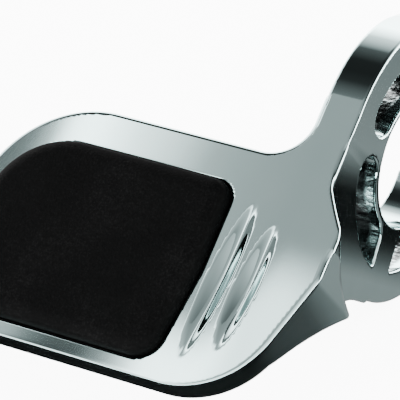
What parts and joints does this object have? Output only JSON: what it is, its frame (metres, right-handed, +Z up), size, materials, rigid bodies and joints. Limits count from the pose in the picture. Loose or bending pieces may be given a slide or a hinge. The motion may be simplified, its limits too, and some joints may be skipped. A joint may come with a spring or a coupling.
{
  "type": "throttle palm rest",
  "caption": "Motorcycle throttle palm rest: a die-cast paddle with a rubber palm pad on a slotted split clamp ring that grips the handlebar.",
  "frame": {"origin": "middle of the ring's bore, on the bar's axis", "axes": "+X along the bar to its outboard end, +Z up as the part stands on its ring and the paddle's near edge, -Y towards the paddle"},
  "size_m": [0.0761, 0.1006, 0.0554],
  "materials": {
    "casting": "polished chrome plate, rough as cast inside the slots and below the deck",
    "pad": "moulded, fine grained top",
    "plate": "zinc plated",
    "gasket": "matt",
    "hardware": "zinc plated",
    "bolt": "polished stainless",
    "set_screw": "black oxide",
    "tip": "natural nylon"
  },
  "bodies": {
    "rest": {"paddle_casting": "casting", "palm_pad": "pad", "pad_backing_plate": "plate", "tray_gasket": "gasket", "pad_stud_1": "hardware", "pad_stud_2": "hardware", "pad_stud_3": "hardware", "pad_washer_1": "hardware", "pad_washer_2": "hardware", "pad_washer_3": "hardware", "pad_nut_1": "hardware", "pad_nut_2": "hardware", "pad_nut_3": "hardware", "pinch_nut": "hardware"},
    "washer": {"pinch_washer": "hardware"},
    "bolt": {"pinch_bolt": "bolt"},
    "screw_tip": {"set_screw_tip": "tip"},
    "screw": {"set_screw": "set_screw"}
  },
  "joints": [
    {"name": "pinch_bolt_travel", "type": "slide", "parent": "rest", "child": "washer", "axis": [0, 0.5315, 0.847], "range_m": [0, 0.0014]},
    {"name": "pinch_bolt_turn", "type": "hinge", "parent": "washer", "child": "bolt", "pos_m": [0, 0.02736, -0.01717], "axis": [0, 0.5315, 0.847], "range_deg": [0, 720]},
    {"name": "set_screw_travel", "type": "slide", "parent": "rest", "child": "screw_tip", "axis": [0, 0.5389, 0.8424], "range_m": [-0.0007, 0.0014]},
    {"name": "set_screw_turn", "type": "hinge", "parent": "screw_tip", "child": "screw", "pos_m": [0, 0.00701, 0.01095], "axis": [0, 0.5389, 0.8424], "range_deg": [-360, 720]}
  ],
  "couplings": [
    {"joint": "pinch_bolt_turn", "follows": "pinch_bolt_travel", "rad_per_m": 8976},
    {"joint": "set_screw_turn", "follows": "set_screw_travel", "rad_per_m": 8976}
  ]
}
